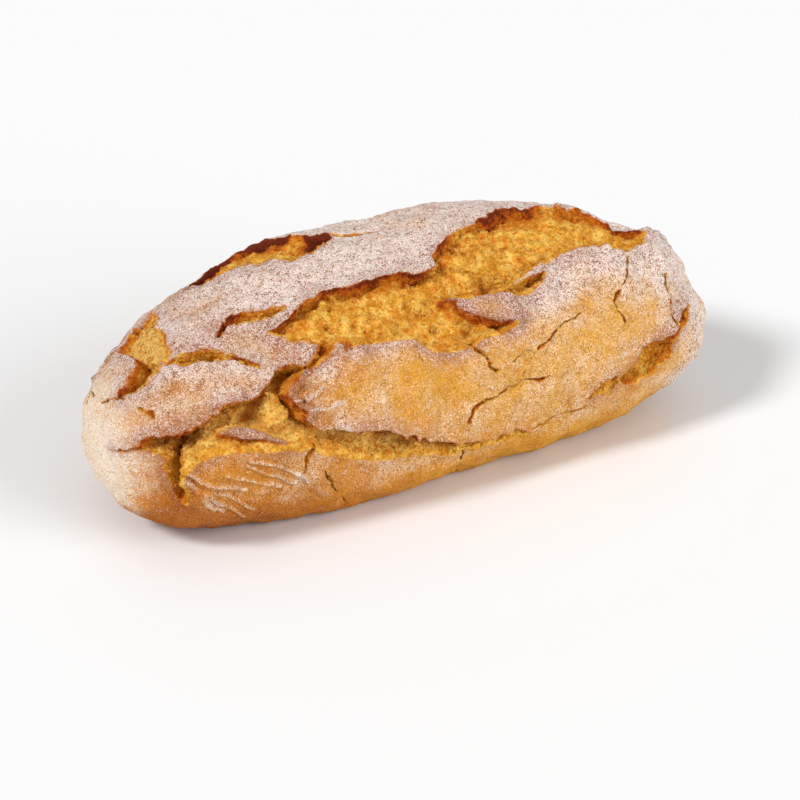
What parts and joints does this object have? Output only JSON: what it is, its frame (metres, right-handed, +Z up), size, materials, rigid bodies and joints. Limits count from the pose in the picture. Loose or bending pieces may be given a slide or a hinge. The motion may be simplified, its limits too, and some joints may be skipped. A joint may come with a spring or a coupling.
{
  "type": "cornbread loaf",
  "caption": "Oval rustic cornbread loaf with a flat base and a floured crust that tore open along the top and low on the sides, showing yellow crumb.",
  "frame": {"origin": "middle of the loaf's box at its flat base", "axes": "+X along the loaf to its right end, -Y to the torn front, +Z up from the base"},
  "size_m": [0.2524, 0.1175, 0.0843],
  "materials": {
    "crust": "matte"
  },
  "bodies": {
    "root": {"loaf": "crust"}
  },
  "joints": []
}
